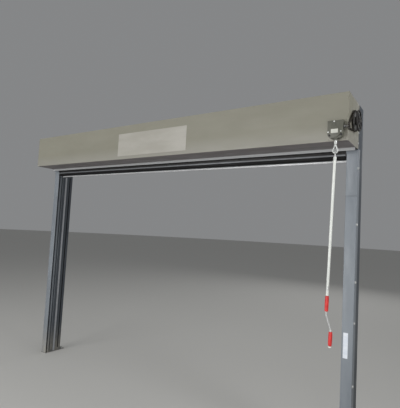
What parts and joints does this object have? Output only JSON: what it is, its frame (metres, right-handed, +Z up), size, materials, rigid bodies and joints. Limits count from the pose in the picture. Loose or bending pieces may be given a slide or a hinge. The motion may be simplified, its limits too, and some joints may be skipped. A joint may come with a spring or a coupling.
{
  "type": "coiling door with square hood, post-carried guides and hanging crank",
  "caption": "Coiling door for a wide opening, shown fully raised: square sheet hood with the wound slat curtain, slotted side guides on posts, and a hanging two-grip crank.",
  "frame": {"origin": "on the floor at the left post's centre line, in the plane of the wall's face, on the underside of the left foot plate", "axes": "+X to the right along the wall as seen from outside, +Y into the wall, +Z up"},
  "size_m": [3.9765, 0.6459, 2.837],
  "materials": {
    "hood_paint": "satin powder coat",
    "guide_paint": "satin powder coat",
    "foot_steel": "matt",
    "bracket_paint": "matt",
    "galvanised": "galvanised",
    "machined_steel": "machined",
    "cast_housing": "cast",
    "mill_aluminium": "mill finish",
    "black_bristle": "bristle",
    "black_rubber": "matt",
    "gearbox_paint": "satin",
    "chain_steel": "oiled",
    "dark_cast": "cast",
    "zinc_steel": "zinc plated",
    "crank_pole": "white coat",
    "red_grip": "semi-gloss",
    "pale_cap": "matt"
  },
  "bodies": {
    "frame": {"hood_sheet": "hood_paint", "left_end_plate": "hood_paint", "right_end_plate": "hood_paint", "gearbox_plate": "hood_paint", "left_guide_wall_angle": "guide_paint", "right_guide_wall_angle": "guide_paint", "left_guide_rear_channel": "guide_paint", "right_guide_rear_channel": "guide_paint", "left_guide_cover": "guide_paint", "right_guide_cover": "guide_paint", "left_guide_top_cover": "guide_paint", "right_guide_top_cover": "guide_paint", "left_post": "guide_paint", "right_post": "guide_paint", "lintel_plate": "guide_paint", "left_foot_plate": "foot_steel", "right_foot_plate": "foot_steel", "left_bracket_angle": "bracket_paint", "right_bracket_angle": "bracket_paint", "barrel_pipe": "galvanised", "curtain_coil": "galvanised", "hanging_slats": "galvanised", "barrel_shaft": "machined_steel", "drive_shaft": "machined_steel", "drive_sprocket": "machined_steel", "barrel_sprocket": "machined_steel", "drive_chain": "chain_steel", "adjusting_wheel": "dark_cast", "left_bearing": "cast_housing", "right_bearing": "cast_housing", "lintel_seal_retainer": "mill_aluminium", "bottom_bar": "mill_aluminium", "left_guide_brush": "black_bristle", "right_guide_brush": "black_bristle", "bottom_seal": "black_rubber", "gearbox_housing": "gearbox_paint"},
    "eye": {"input_eye": "zinc_steel"},
    "crank": {"crank_hook": "zinc_steel", "crank_pole": "crank_pole", "crank_socket": "zinc_steel", "crank_rod": "zinc_steel", "crank_cap": "pale_cap"},
    "upper_grip_sleeve": {"upper_grip": "red_grip"},
    "lower_grip_sleeve": {"lower_grip": "red_grip"}
  },
  "joints": [
    {"name": "input_turn", "type": "hinge", "parent": "frame", "child": "eye", "pos_m": [3.7945, -0.38201, 2.47], "axis": [0, 0, 1], "continuous": true},
    {"name": "crank_swing", "type": "hinge", "parent": "eye", "child": "crank", "pos_m": [3.7945, -0.38201, 2.3745], "axis": [1, 0, 0], "range_deg": [-8, 8]},
    {"name": "upper_grip_spin", "type": "hinge", "parent": "crank", "child": "upper_grip_sleeve", "pos_m": [3.76398, -0.36398, 1.33], "axis": [0.0292, -0.0172, 0.9994], "continuous": true},
    {"name": "lower_grip_spin", "type": "hinge", "parent": "crank", "child": "lower_grip_sleeve", "pos_m": [3.81012, -0.41991, 1.09355], "axis": [0.0292, -0.0172, 0.9994], "continuous": true}
  ]
}
